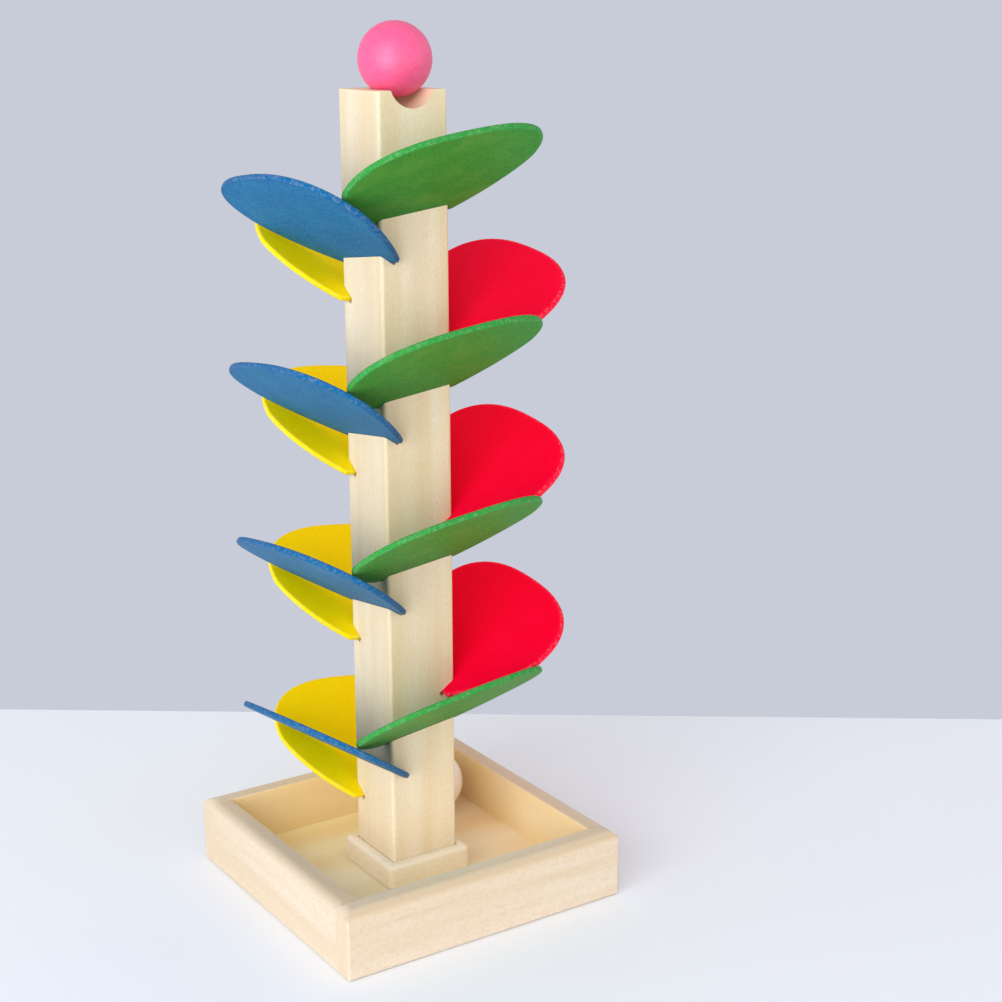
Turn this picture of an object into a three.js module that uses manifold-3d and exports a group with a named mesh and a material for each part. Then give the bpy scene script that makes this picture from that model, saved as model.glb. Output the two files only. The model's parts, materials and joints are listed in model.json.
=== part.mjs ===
// Tree marble run: a square wooden post stands in a collar on a shallow square tray, and painted
// leaves are let into the post one below the other, a quarter turn apart. A ball that is rolled off
// the top of the post runs from leaf to leaf down to the tray.
// Millimetres, +Z up. The origin is the middle of the tray's underside, and -Y is the front.
import * as THREE from 'three';
import { mergeVertices } from 'three/addons/utils/BufferGeometryUtils.js';
import Module from 'manifold-3d';

const wasm = await Module();
wasm.setup();

// Clearances
const SEAT_GAP = 0.3;
const RAIL_JOINT_GAP = 0.2;
const LEAF_FIT_GAP = 0.2;

// Balls
const BALL_DIAMETER = 30;
const TRAY_BALL_SIDE_GAP = 6;

// Post: its height follows from the leaves that it carries
const POST_WIDTH = 32;
const POST_EDGE_RADIUS = 1;
const POST_CORNER_EXTRA = 1.6;
const POST_HEAD = 47.5;

// Groove in the top of the post, open at the front, where a ball waits
const GROOVE_RADIUS = 10.5;
const GROOVE_DEPTH = 7.2;
const GROOVE_END_FROM_AXIS = 2.5;

// Leaves: flat petals whose straight foot is glued into a sloping saw cut in the post
const LEAF_COUNT = 15;
const LEAF_CLEARANCE = 0.4;
const LOWEST_LEAF_RISE = 21.8;
const LEAF_TILT_DEGREES = 34;
const LEAF_SLOPE_DEGREES = 7.4;
const LEAF_LENGTH = 87;
const LEAF_REACH = 60;
const LEAF_WIDEST_LINE = 30;
const LEAF_FOOT_DEPTH = 6.2;
const LEAF_TIP_OVERHANG = 4;
const LEAF_THICKNESS = 2.4;
const LEAF_EDGE_FLAT = 0.8;
const LEAF_OUTER_FULLNESS = 2.5;
const LEAF_INNER_FULLNESS = 1.44;

// Collar that holds the foot of the post
const COLLAR_WALL = 4.2;
const COLLAR_HEIGHT = 10.5;
const COLLAR_EDGE_RADIUS = 2;
const COLLAR_CORNER_EXTRA = 0.5;

// Tray: four rails round a thin floor that sits in a groove in them
const RAIL_HEIGHT = 30;
const RAIL_THICKNESS = 10;
const BALL_LANE_ROOM = 7;
const RAIL_EDGE_RADIUS = 4.6;
const RAIL_FOOT_RADIUS = 1.4;
const TRAY_CORNER_RADIUS = 1.1;
const RAIL_INNER_CHAMFER = 0.6;
const FLOOR_THICKNESS = 4;
const FLOOR_RISE = 3;
const FLOOR_TONGUE = 4;

// Fineness of the rounded shapes
const ROUND_STEPS = 3;
const RAIL_ROUND_STEPS = 6;
const BALL_DETAIL = 6;
const GROOVE_END_STEPS = 8;
const GROOVE_SIDES = 32;
const LEAF_OUTER_STEPS = 24;
const LEAF_SIDE_STEPS = 8;
const STEP_SEARCH_ROUNDS = 14;
const OVERCUT = 5;
const WELD = 1e-4;

// Finishes: colour, roughness
const FINISHES = {
  trayWood: [0xefdcb8, 0.62],
  floorWood: [0xe6c993, 0.6],
  collarWood: [0xe9d6b0, 0.62],
  postWood: [0xeedcbb, 0.6],
  green: [0x2f9a3c, 0.42],
  blue: [0x1f74b4, 0.42],
  yellow: [0xf0d200, 0.4],
  red: [0xef0a2e, 0.42],
  pink: [0xf4699f, 0.38],
  ballWood: [0xead3bd, 0.5],
};
const LEAF_FINISHES = ['green', 'blue', 'yellow', 'red'];

// Sizes and places that follow from the ones above
const QUARTER_TURN = Math.PI / 2;
const HALF_TURN = Math.PI;
const FACES = LEAF_FINISHES.length;
const ballRadius = BALL_DIAMETER / 2;
const collarWidth = POST_WIDTH + 2 * (SEAT_GAP + COLLAR_WALL);
const trayInside = collarWidth + 2 * (BALL_DIAMETER + BALL_LANE_ROOM);
const traySide = trayInside + 2 * RAIL_THICKNESS;
const floorTop = FLOOR_RISE + FLOOR_THICKNESS;
const floorSide = trayInside + 2 * (FLOOR_TONGUE - SEAT_GAP);
const collarBottom = floorTop + SEAT_GAP;
const collarTop = floorTop + COLLAR_HEIGHT;
const postBottom = floorTop + SEAT_GAP;
const lowestLeafHeight = collarTop + LOWEST_LEAF_RISE;
const leafTilt = THREE.MathUtils.degToRad(LEAF_TILT_DEGREES);
const leafSlope = THREE.MathUtils.degToRad(LEAF_SLOPE_DEGREES);

// A closed solid from any geometry, from its positions alone
function solidOf(geometry) {
  const bare = new THREE.BufferGeometry();
  bare.setAttribute('position', geometry.getAttribute('position').clone());
  bare.setIndex(geometry.getIndex());
  const welded = mergeVertices(bare, WELD);
  return new wasm.Manifold(new wasm.Mesh({
    numProp: 3,
    vertProperties: new Float32Array(welded.getAttribute('position').array),
    triVerts: new Uint32Array(welded.getIndex().array),
  }));
}

// The triangles of a solid as a geometry
function geometryOf(solid) {
  const mesh = solid.getMesh();
  const geometry = new THREE.BufferGeometry();
  geometry.setAttribute('position', new THREE.BufferAttribute(mesh.vertProperties, mesh.numProp));
  geometry.setIndex(new THREE.BufferAttribute(mesh.triVerts, 1));
  const flat = geometry.toNonIndexed();
  flat.computeVertexNormals();
  return flat;
}

const part = new THREE.Group();
part.name = 'tree_marble_run';

function addPiece(name, solid, finish) {
  const [color, roughness] = FINISHES[finish];
  const material = new THREE.MeshStandardMaterial({ color, roughness, metalness: 0 });
  material.name = finish;
  const piece = new THREE.Mesh(geometryOf(solid), material);
  piece.name = name;
  part.add(piece);
}

// A box between two corners
function box(low, high) {
  const size = high.map((value, axis) => value - low[axis]);
  const geometry = new THREE.BoxGeometry(...size);
  geometry.translate(...low.map((value, axis) => value + size[axis] / 2));
  return solidOf(geometry);
}

// A square with rounded corners, centred on the origin
function roundedSquare(side, radius) {
  const shape = new THREE.Shape();
  const arm = (side / 2 - radius) * Math.SQRT2;
  for (let corner = 0; corner < FACES; corner += 1) {
    const start = corner * QUARTER_TURN;
    const diagonal = start + QUARTER_TURN / 2;
    shape.absarc(arm * Math.cos(diagonal), arm * Math.sin(diagonal), radius, start, start + QUARTER_TURN);
  }
  shape.closePath();
  return shape;
}

// A flat shape pulled up from bottom to top, with its end edges rounded over
function roundedPlate(shape, bottom, top, edgeRadius) {
  const geometry = new THREE.ExtrudeGeometry(shape, {
    depth: top - bottom - 2 * edgeRadius,
    curveSegments: ROUND_STEPS,
    bevelThickness: edgeRadius,
    bevelSize: edgeRadius,
    bevelOffset: -edgeRadius,
    bevelSegments: ROUND_STEPS,
  });
  geometry.translate(0, 0, bottom + edgeRadius);
  return geometry;
}

// A square block whose upright corners are rounded a little more than its end edges
function roundedBlock(side, bottom, top, edgeRadius, cornerExtra) {
  return solidOf(roundedPlate(roundedSquare(side, edgeRadius + cornerExtra), bottom, top, edgeRadius));
}

// The tray's outer shape seen from one side, with its top and bottom edges rounded, pulled along Y
const trayHalf = traySide / 2;
const insideHalf = trayInside / 2;
const farOut = trayHalf + OVERCUT;
function trayPrism() {
  const shape = new THREE.Shape();
  const topLine = RAIL_HEIGHT - RAIL_EDGE_RADIUS;
  const topEnd = trayHalf - RAIL_EDGE_RADIUS;
  const foot = RAIL_FOOT_RADIUS;
  shape.absarc(topEnd, topLine, RAIL_EDGE_RADIUS, 0, QUARTER_TURN);
  shape.absarc(-topEnd, topLine, RAIL_EDGE_RADIUS, QUARTER_TURN, HALF_TURN);
  shape.absarc(foot - trayHalf, foot, foot, HALF_TURN, HALF_TURN + QUARTER_TURN);
  shape.absarc(trayHalf - foot, foot, foot, -QUARTER_TURN, 0);
  shape.closePath();
  const geometry = new THREE.ExtrudeGeometry(shape, {
    depth: 2 * farOut,
    curveSegments: RAIL_ROUND_STEPS,
    bevelEnabled: false,
  });
  geometry.translate(0, 0, -farOut);
  geometry.rotateX(QUARTER_TURN);
  return geometry;
}

// The tray's plan with nearly sharp corners, hollow inside, with the inner top edge broken
const insideFlare = new THREE.CylinderGeometry(
  (insideHalf + RAIL_INNER_CHAMFER + OVERCUT) * Math.SQRT2,
  (insideHalf - OVERCUT) * Math.SQRT2,
  RAIL_INNER_CHAMFER + 2 * OVERCUT,
  FACES,
);
insideFlare.rotateY(QUARTER_TURN / 2);
insideFlare.rotateX(QUARTER_TURN);
insideFlare.translate(0, 0, RAIL_HEIGHT - RAIL_INNER_CHAMFER / 2);
const inside = box(
  [-insideHalf, -insideHalf, -OVERCUT],
  [insideHalf, insideHalf, RAIL_HEIGHT + OVERCUT],
);
const trayPlan = solidOf(new THREE.ExtrudeGeometry(roundedSquare(traySide, TRAY_CORNER_RADIUS), {
  depth: RAIL_HEIGHT,
  curveSegments: ROUND_STEPS,
  bevelEnabled: false,
}));
const trayRing = trayPlan.subtract(inside).subtract(solidOf(insideFlare));
const floorHalf = floorSide / 2;
const floorSlot = box(
  [-floorHalf - SEAT_GAP, -floorHalf - SEAT_GAP, FLOOR_RISE - SEAT_GAP],
  [floorHalf + SEAT_GAP, floorHalf + SEAT_GAP, floorTop + SEAT_GAP],
);

// The tray is rounded over along its outer top edge all round, so every rail has the same section.
// The front and back rails run the full width, and the side rails stand between them.
const roundedSides = solidOf(trayPrism());
const roundedEnds = solidOf(trayPrism().rotateZ(QUARTER_TURN));
const roundedRing = trayRing.intersect(roundedSides).intersect(roundedEnds).subtract(floorSlot);
const sideRailEnd = insideHalf - RAIL_JOINT_GAP;
const railBlanks = {
  tray_rail_front: [[-farOut, -farOut], [farOut, -insideHalf]],
  tray_rail_back: [[-farOut, insideHalf], [farOut, farOut]],
  tray_rail_left: [[-farOut, -sideRailEnd], [-insideHalf, sideRailEnd]],
  tray_rail_right: [[insideHalf, -sideRailEnd], [farOut, sideRailEnd]],
};
for (const [name, [low, high]] of Object.entries(railBlanks)) {
  const blank = box([...low, -OVERCUT], [...high, RAIL_HEIGHT + OVERCUT]);
  addPiece(name, roundedRing.intersect(blank), 'trayWood');
}
const floorBoard = box([-floorHalf, -floorHalf, FLOOR_RISE], [floorHalf, floorHalf, floorTop]);
addPiece('tray_floor', floorBoard, 'floorWood');

// The collar is a square block with a square socket right through it
const socketHalf = POST_WIDTH / 2 + SEAT_GAP;
const collarBlank = roundedBlock(
  collarWidth,
  collarBottom - COLLAR_HEIGHT,
  collarTop,
  COLLAR_EDGE_RADIUS,
  COLLAR_CORNER_EXTRA,
);
const belowCollar = box(
  [-collarWidth, -collarWidth, -collarWidth],
  [collarWidth, collarWidth, collarBottom],
);
const socket = box(
  [-socketHalf, -socketHalf, -collarWidth],
  [socketHalf, socketHalf, collarTop + OVERCUT],
);
addPiece('post_collar', collarBlank.subtract(belowCollar).subtract(socket), 'collarWood');

// A leaf's outline: a full rounded outer edge, sides that draw in, and a straight foot
const leafEdgeRadius = (LEAF_THICKNESS - LEAF_EDGE_FLAT) / 2;
const leafHalfLength = LEAF_LENGTH / 2;
const leafOuterRise = LEAF_REACH - LEAF_WIDEST_LINE;
const leafFootDrop = LEAF_WIDEST_LINE + LEAF_FOOT_DEPTH;
const footShare = (POST_WIDTH / 2 + LEAF_TIP_OVERHANG) / leafHalfLength;
const leafInnerFall = leafFootDrop / (1 - footShare ** LEAF_INNER_FULLNESS) ** (1 / LEAF_INNER_FULLNESS);

function leafHalfWidthAt(drop) {
  return leafHalfLength * (1 - (drop / leafInnerFall) ** LEAF_INNER_FULLNESS) ** (1 / LEAF_INNER_FULLNESS);
}

function leafOutline() {
  const points = [];
  for (let step = 0; step <= LEAF_OUTER_STEPS; step += 1) {
    const angle = (HALF_TURN * step) / LEAF_OUTER_STEPS;
    const along = Math.abs(Math.cos(angle)) ** (2 / LEAF_OUTER_FULLNESS) * Math.sign(Math.cos(angle));
    const out = Math.abs(Math.sin(angle)) ** (2 / LEAF_OUTER_FULLNESS);
    points.push(new THREE.Vector2(leafHalfLength * along, LEAF_WIDEST_LINE + leafOuterRise * out));
  }
  const side = [];
  for (let step = 1; step <= LEAF_SIDE_STEPS; step += 1) {
    const drop = (leafFootDrop * step) / LEAF_SIDE_STEPS;
    side.push(new THREE.Vector2(leafHalfWidthAt(drop), LEAF_WIDEST_LINE - drop));
  }
  const lowSide = side.map((point) => new THREE.Vector2(-point.x, point.y));
  return new THREE.Shape([...points, ...lowSide, ...side.reverse()]);
}

// Puts a shape drawn in a leaf's own plane on the post: x runs downhill along the face, y out of it
function placeOnFace(geometry, face, height) {
  geometry.rotateX(leafTilt);
  geometry.rotateY(leafSlope);
  geometry.translate(0, POST_WIDTH / 2, height);
  geometry.rotateZ(HALF_TURN - face * QUARTER_TURN);
  return solidOf(geometry);
}

function leafAt(face, height) {
  return placeOnFace(roundedPlate(leafOutline(), 0, LEAF_THICKNESS, leafEdgeRadius), face, height);
}

// Each leaf follows the one above it as closely as their shapes let it, with the clearance added
let touchingStep = 0;
let clearStep = LEAF_REACH;
const upperLeaf = leafAt(0, 0);
for (let round = 0; round < STEP_SEARCH_ROUNDS; round += 1) {
  const tried = (touchingStep + clearStep) / 2;
  if (upperLeaf.intersect(leafAt(1, -tried)).isEmpty()) {
    clearStep = tried;
  } else {
    touchingStep = tried;
  }
}
const leafStep = clearStep + LEAF_CLEARANCE;
const highestLeafHeight = lowestLeafHeight + (LEAF_COUNT - 1) * leafStep;
const postTop = highestLeafHeight + POST_HEAD;

// Each leaf's saw cut runs right across its face of the post, a little deeper and wider than the foot
const kerfLength = 2 * POST_WIDTH;
const kerfFloor = -LEAF_FOOT_DEPTH - LEAF_FIT_GAP;
const kerfTop = LEAF_THICKNESS + LEAF_FIT_GAP;
let post = roundedBlock(POST_WIDTH, postBottom, postTop, POST_EDGE_RADIUS, POST_CORNER_EXTRA);
for (let index = 0; index < LEAF_COUNT; index += 1) {
  const kerf = new THREE.BoxGeometry(kerfLength, POST_WIDTH - kerfFloor, kerfTop + LEAF_FIT_GAP);
  kerf.translate(0, (POST_WIDTH + kerfFloor) / 2, (kerfTop - LEAF_FIT_GAP) / 2);
  post = post.subtract(placeOnFace(kerf, index, highestLeafHeight - index * leafStep));
}

// The groove has a round bottom and a round closed end near the middle of the post
const grooveLength = POST_WIDTH;
const groovePoints = [];
for (let step = 0; step <= GROOVE_END_STEPS; step += 1) {
  const angle = (QUARTER_TURN * step) / GROOVE_END_STEPS;
  groovePoints.push(new THREE.Vector2(GROOVE_RADIUS * Math.sin(angle), GROOVE_RADIUS * Math.cos(angle)));
}
groovePoints[0].x = 0;
groovePoints.push(new THREE.Vector2(GROOVE_RADIUS, -grooveLength), new THREE.Vector2(0, -grooveLength));
const groove = new THREE.LatheGeometry(groovePoints.reverse(), GROOVE_SIDES);
const grooveAxisHeight = postTop - GROOVE_DEPTH + GROOVE_RADIUS;
groove.translate(0, -GROOVE_END_FROM_AXIS, grooveAxisHeight);
addPiece('post', post.subtract(solidOf(groove)), 'postWood');

for (let index = 0; index < LEAF_COUNT; index += 1) {
  const finish = LEAF_FINISHES[index % FACES];
  const number = String(index + 1).padStart(2, '0');
  addPiece(`leaf_${number}_${finish}`, leafAt(index, highestLeafHeight - index * leafStep), finish);
}

// One ball rests on the rims of the groove, the other lies in the lane behind the collar
function ballAt(x, y, z) {
  const geometry = new THREE.IcosahedronGeometry(ballRadius, BALL_DETAIL);
  geometry.translate(x, y, z);
  return solidOf(geometry);
}
const grooveHalfWidth = Math.sqrt(GROOVE_RADIUS ** 2 - (GROOVE_RADIUS - GROOVE_DEPTH) ** 2);
const ballRise = Math.sqrt(ballRadius ** 2 - grooveHalfWidth ** 2);
addPiece('ball_pink', ballAt(0, -GROOVE_END_FROM_AXIS, postTop + ballRise + SEAT_GAP), 'pink');
addPiece('ball_natural', ballAt(
  insideHalf - TRAY_BALL_SIDE_GAP - ballRadius,
  (collarWidth / 2 + insideHalf) / 2,
  floorTop + SEAT_GAP + ballRadius,
), 'ballWood');

export default part;
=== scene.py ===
# %% [markdown]
# # A tree marble run in beech and painted plywood
# A square beech post stands in a collar on a shallow tray, and painted leaves are glued into saw
# cuts that go round the post like a spiral stair. A ball rolls off the top and runs from leaf to
# leaf down to the tray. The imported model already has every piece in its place. Here each piece gets
# a finer surface, worked out from the same sizes, and the finish that it has on the real toy.

# %% Load the frame
import json

import bmesh
import bpy
import numpy as np
from mathutils import Matrix, Vector


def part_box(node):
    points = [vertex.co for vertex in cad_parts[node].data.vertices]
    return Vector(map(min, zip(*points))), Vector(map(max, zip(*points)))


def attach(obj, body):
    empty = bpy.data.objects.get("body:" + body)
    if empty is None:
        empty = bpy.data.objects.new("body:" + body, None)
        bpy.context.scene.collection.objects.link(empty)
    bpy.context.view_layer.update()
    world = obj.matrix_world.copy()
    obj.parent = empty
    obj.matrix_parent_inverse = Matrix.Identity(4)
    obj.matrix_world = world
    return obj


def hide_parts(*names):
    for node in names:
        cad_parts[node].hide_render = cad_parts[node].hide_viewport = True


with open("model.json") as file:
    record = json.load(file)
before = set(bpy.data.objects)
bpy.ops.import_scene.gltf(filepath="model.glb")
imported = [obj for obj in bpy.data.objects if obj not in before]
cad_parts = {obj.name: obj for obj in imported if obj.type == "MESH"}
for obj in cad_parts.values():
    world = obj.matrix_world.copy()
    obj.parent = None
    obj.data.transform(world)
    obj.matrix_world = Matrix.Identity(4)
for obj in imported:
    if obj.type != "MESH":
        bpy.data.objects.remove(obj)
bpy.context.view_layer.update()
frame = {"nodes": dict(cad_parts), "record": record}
MM = 0.001
record = frame["record"]
body_of = {node: body for body, nodes in record["behaviour"]["bodies"].items() for node in nodes}

# %% [markdown]
# ## From rings of points to a piece
# Every piece of this toy can be seen as a row of closed rings, each a little further along: the
# sections of a rail, the outlines of a leaf, the circles of a ball. So one function turns an array
# of rings into a mesh. A first or last ring that shrinks to a point closes that end, and merging
# doubles makes the point one vertex. Rounded edges shade smooth, and true corners stay sharp.
# All sizes are in millimetres up to the moment when the mesh is made.

# %% Rings to mesh
SHARP_ANGLE = np.radians(38)
MERGE_DISTANCE, DISSOLVE_DISTANCE = 1e-6, 1e-7


def ring_quads(rows, columns, loop):
    """Corner numbers of the quads between neighbouring rings. With loop, the last joins the first."""
    first_rows = np.arange(rows if loop else rows - 1)
    row, column = np.meshgrid(first_rows, np.arange(columns), indexing="ij")
    here, below, right = row * columns, (row + 1) % rows * columns, (column + 1) % columns
    return np.stack([here + column, here + right, below + right, below + column], -1).reshape(-1, 4)


def ring_mesh(name, rings, loop=False, marks=None, plan=None):
    """A closed mesh from rings (rows, columns, 3) in millimetres. marks are values on each point, for
    the finishes; plan is a flat place in millimetres on each point, which becomes the UV map."""
    rows, columns = rings.shape[:2]
    faces = ring_quads(rows, columns, loop)
    mesh = bpy.data.meshes.new(name)
    mesh.from_pydata(rings.reshape(-1, 3) * MM, [], faces.tolist())
    for label, values in (marks or {}).items():
        layer = mesh.attributes.new(label, "FLOAT", "POINT")
        values = np.broadcast_to(values, (rows, columns)).ravel().astype(np.float32)
        layer.data.foreach_set("value", values)
    if plan is not None:
        layer = mesh.uv_layers.new(name="plan")
        places = (plan.reshape(-1, 2)[faces.ravel()] * MM).ravel().astype(np.float32)
        layer.data.foreach_set("uv", places)
    work = bmesh.new()
    work.from_mesh(mesh)
    bmesh.ops.remove_doubles(work, verts=work.verts, dist=MERGE_DISTANCE)
    bmesh.ops.dissolve_degenerate(work, edges=work.edges, dist=DISSOLVE_DISTANCE)
    bmesh.ops.recalc_face_normals(work, faces=work.faces)
    work.to_mesh(mesh)
    work.free()
    mesh.shade_smooth()
    mesh.set_sharp_from_angle(angle=SHARP_ANGLE)
    return mesh


def place_piece(mesh, node):
    """Puts a finished mesh in the scene in place of a CAD node, on that node's body."""
    piece = bpy.data.objects.new(mesh.name, mesh)
    bpy.context.scene.collection.objects.link(piece)
    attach(piece, body_of[node])
    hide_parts(node)
    return piece


def box_mm(node):
    """A node's lowest and highest corner in millimetres."""
    return [np.array(corner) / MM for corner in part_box(node)]


def turned(first, second, angle):
    """Two coordinates turned by an angle in their plane: (f cos - s sin, f sin + s cos)."""
    cos, sin = np.cos(angle), np.sin(angle)
    return first * cos - second * sin, first * sin + second * cos


pieces = {}
print("helpers ready")

# %% [markdown]
# ## The tray's rails
# The front and back rails run the full width, and the side rails stand between them. The outer top
# edge was rounded over all the way round after gluing, so the ends of the long rails have the same
# rounding as the sides. All four have a groove for the floor. A bevelled box can't have a different
# rounding on each edge, so a rail is its section carried along its length. Near a rounded end the
# section is clipped by limits that follow a quarter circle, which is what the cutter does there. The
# sections lie close together at the ends and far apart between them.

# %% Rail section and rail
RAIL_HEIGHT, RAIL_THICKNESS = 30.0, 10.0
RAIL_EDGE, RAIL_FOOT, RAIL_INNER_CHAMFER, RAIL_UPRIGHT_EDGE = 4.6, 1.4, 0.6, 1.1
FLOOR_GROOVE_LOW, FLOOR_GROOVE_HIGH, FLOOR_GROOVE_DEPTH = 2.7, 7.03, 4.0
FLOOR_GROOVE_END, FLOOR_GROOVE_STEP = 61.5, 0.01
SECTION_SPACING = 1.5
FINE_LENGTH, FINE_SECTIONS, FINE_GROWTH, NEXT_SECTION = 5, 26, 60, 20
TINY = 1e-6


def corner_arc(centre, radius, start, steps=9):
    """A quarter circle round a centre, from a start angle in degrees."""
    angle = np.radians(np.linspace(start, start + 90, steps))
    return np.array(centre) + radius * np.stack([np.cos(angle), np.sin(angle)], -1)


def filled(points, spacing):
    """The same closed outline with extra points: each long straight run is cut into equal parts."""
    ends = np.roll(points, -1, axis=0)
    counts = np.maximum(1, np.ceil(np.linalg.norm(ends - points, axis=1) / spacing)).astype(int)
    which = np.repeat(np.arange(len(points)), counts)
    share = (np.arange(len(which)) - np.repeat(np.cumsum(counts) - counts, counts)) / counts[which]
    return points[which] + share[:, None] * (ends - points)[which]


def rail_section():
    """A rail's section as (out, up), with out counted from the inner face. The notch is the groove."""
    high, wide = RAIL_HEIGHT, RAIL_THICKNESS
    foot = corner_arc((wide - RAIL_FOOT, RAIL_FOOT), RAIL_FOOT, -90)
    shoulder = corner_arc((wide - RAIL_EDGE, high - RAIL_EDGE), RAIL_EDGE, 0)
    inner = [(RAIL_INNER_CHAMFER, high), (0, high - RAIL_INNER_CHAMFER)]
    notch = [(0, FLOOR_GROOVE_HIGH), (FLOOR_GROOVE_DEPTH, FLOOR_GROOVE_HIGH),
             (FLOOR_GROOVE_DEPTH, FLOOR_GROOVE_LOW), (0, FLOOR_GROOVE_LOW), (0, 0)]
    return filled(np.concatenate([foot, shoulder, inner, notch]), SECTION_SPACING)


def rounding(radius, from_end):
    """How far a quarter-round end of that radius draws a surface in, at a distance from the end."""
    inside = np.clip(radius - from_end, 0, radius)
    return radius - np.sqrt(radius ** 2 - inside ** 2)


def rail_rings(half_length, section, end_top, end_foot, end_side):
    """Sections carried along a rail as (along, out, up), clipped near the ends by the end roundings."""
    fine = (np.geomspace(1, FINE_GROWTH, FINE_SECTIONS) - 1) * FINE_LENGTH / (FINE_GROWTH - 1)
    stops = FLOOR_GROOVE_END + np.array([-FLOOR_GROOVE_STEP, FLOOR_GROOVE_STEP])
    stops = half_length - stops[stops < half_length]
    from_end = np.unique(np.concatenate([fine, stops, [NEXT_SECTION, half_length]]))
    along = np.concatenate([from_end - half_length, half_length - from_end[-2::-1]])
    gap = half_length - np.abs(along)[:, None]
    out, up = (np.broadcast_to(values, (len(along), len(section))) for values in section.T)
    in_groove = (up > FLOOR_GROOVE_LOW - TINY) & (up < FLOOR_GROOVE_HIGH + TINY)
    in_groove &= (out > 0) & (out < FLOOR_GROOVE_DEPTH + TINY)
    past_groove = np.abs(along)[:, None] > FLOOR_GROOVE_END
    out = np.where(in_groove & past_groove, 0, out)
    out = np.minimum(out, RAIL_THICKNESS - rounding(end_side, gap))
    up = np.clip(up, rounding(end_foot, gap), RAIL_HEIGHT - rounding(end_top, gap))
    rings = np.stack([np.broadcast_to(along[:, None], out.shape), out, up], -1)
    caps = rings[[0, -1]].mean(axis=1, keepdims=True) * np.ones((1, len(section), 1))
    return np.concatenate([caps[:1], rings, caps[1:]])


print("points in a rail's section:", len(rail_section()))

# %% [markdown]
# The finish of a rail isn't the same everywhere, and the shape knows where: the inner face, which is
# painted warmer and brighter for light bounced inside the tray, the front rail's shoulder with a band of
# painted shade, and the left rail's top with painted shade. Each point carries these as marks from 0 to
# 1, which the wood's material reads later.

# %% Build the four rails
NO_ROUNDING = 1e-6
JOINT_CLOSED = 0.18
MARK_SLACK = 0.1
# Where the band of painted shade lies on the front rail's rounded shoulder: an angle round the rounding and a
# spread.
SHADE_BAND_ANGLE, SHADE_BAND_SPREAD = 38, 16
TOP_START, TOP_RANGE = 20, 40


def rail_marks(side, along, out, up):
    """Marks on a rail's points. rise is the angle in degrees round the shoulder's rounding: painted shade
    on the front shoulder is a bell curve of it, and painted shade on the top fades in over a range of it."""
    # Painted bounce light: the inner faces get a warmer, brighter tone for light bounced round the tray.
    inner = (out < RAIL_INNER_CHAMFER) & (np.abs(along) < FLOOR_GROOVE_END + MARK_SLACK)
    inner &= (up > FLOOR_GROOVE_HIGH - MARK_SLACK) & (up < RAIL_HEIGHT - MARK_SLACK)
    rise = np.degrees(np.arctan2(up - RAIL_HEIGHT + RAIL_EDGE, out - RAIL_THICKNESS + RAIL_EDGE))
    # Painted shade: a darker band across the front rail's rounded shoulder.
    growth_line_and_shade = np.exp(-((rise - SHADE_BAND_ANGLE) / SHADE_BAND_SPREAD) ** 2)
    # Painted shade: the left rail's top is darkened, fading in round the shoulder.
    painted_top_shade = np.clip((rise - TOP_START) / TOP_RANGE, 0, 1) * (up > RAIL_HEIGHT - RAIL_EDGE)
    return {"inner": inner, "shoulder": growth_line_and_shade * (side == "front"), "painted_top_shade": painted_top_shade * (side == "left")}


long_half = box_mm("tray_rail_front")[1][0]
short_half = box_mm("tray_rail_left")[1][1] + JOINT_CLOSED
inside_half = long_half - RAIL_THICKNESS
section = rail_section()
long_rings = rail_rings(long_half, section, RAIL_EDGE, RAIL_FOOT, RAIL_UPRIGHT_EDGE)
short_rings = rail_rings(short_half, section, NO_ROUNDING, NO_ROUNDING, NO_ROUNDING)
rails = {"back": long_rings, "left": short_rings, "front": long_rings, "right": short_rings}
for turn, (side, rings) in enumerate(rails.items()):
    along, out, up = np.moveaxis(rings, -1, 0)
    placed = np.stack([*turned(along, inside_half + out, turn * np.pi / 2), up], -1)
    mesh = ring_mesh("beech_rail_" + side, placed, marks=rail_marks(side, along, out, up))
    node = "tray_rail_" + side
    pieces[node] = place_piece(mesh, node)
print("rail faces:", {node: len(piece.data.polygons) for node, piece in pieces.items()})

# %% [markdown]
# ## The floor and the collar
# The floor is a thin plywood board whose edges go into the rails' grooves. The collar is a square
# block with a square socket for the post, its outer edges rounded over. Both are square rings, so a
# ring is a square with rounded corners, and a piece is a list of half widths, corner radii and
# heights. It works like a lathe profile for square things.

# %% Square rings
CORNER_STEPS, SIDE_STEPS, SIDE_START, NEAR_CORNER = 9, 12, 0.1, 0.015


def square_rings(half, corner, height):
    """Rings round the upright axis: each is a square of that half width with that corner radius, at that
    height. A quarter of it is an arc and a straight run, and turning it four times closes the ring."""
    half, corner, height = (np.asarray(values, float)[:, None] for values in (half, corner, height))
    angle = np.linspace(0, np.pi / 2, CORNER_STEPS)[None]
    arc_x, arc_y = half - corner + corner * np.cos(angle), half - corner + corner * np.sin(angle)
    along_side = np.linspace(SIDE_START, 1 - SIDE_START, SIDE_STEPS)
    share = np.concatenate([[NEAR_CORNER], along_side, [1 - NEAR_CORNER]])[None]
    run_x = (1 - 2 * share) * (half - corner)
    x = np.concatenate([arc_x, run_x], 1)
    y = np.concatenate([arc_y, np.broadcast_to(half, run_x.shape)], 1)
    around_x, around_y = np.concatenate([x, -y, -x, y], 1), np.concatenate([y, x, -y, -x], 1)
    return np.stack([around_x, around_y, np.broadcast_to(height, around_x.shape)], -1)


def edge_round(radius, steps=7):
    """A quarter-round edge as (inset, drop) from the side up to the top."""
    angle = np.linspace(0, np.pi / 2, steps)
    return radius * (1 - np.cos(angle)), radius * (1 - np.sin(angle))


print("points in a square ring:", square_rings([1], [0], [0]).shape[1])

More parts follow.
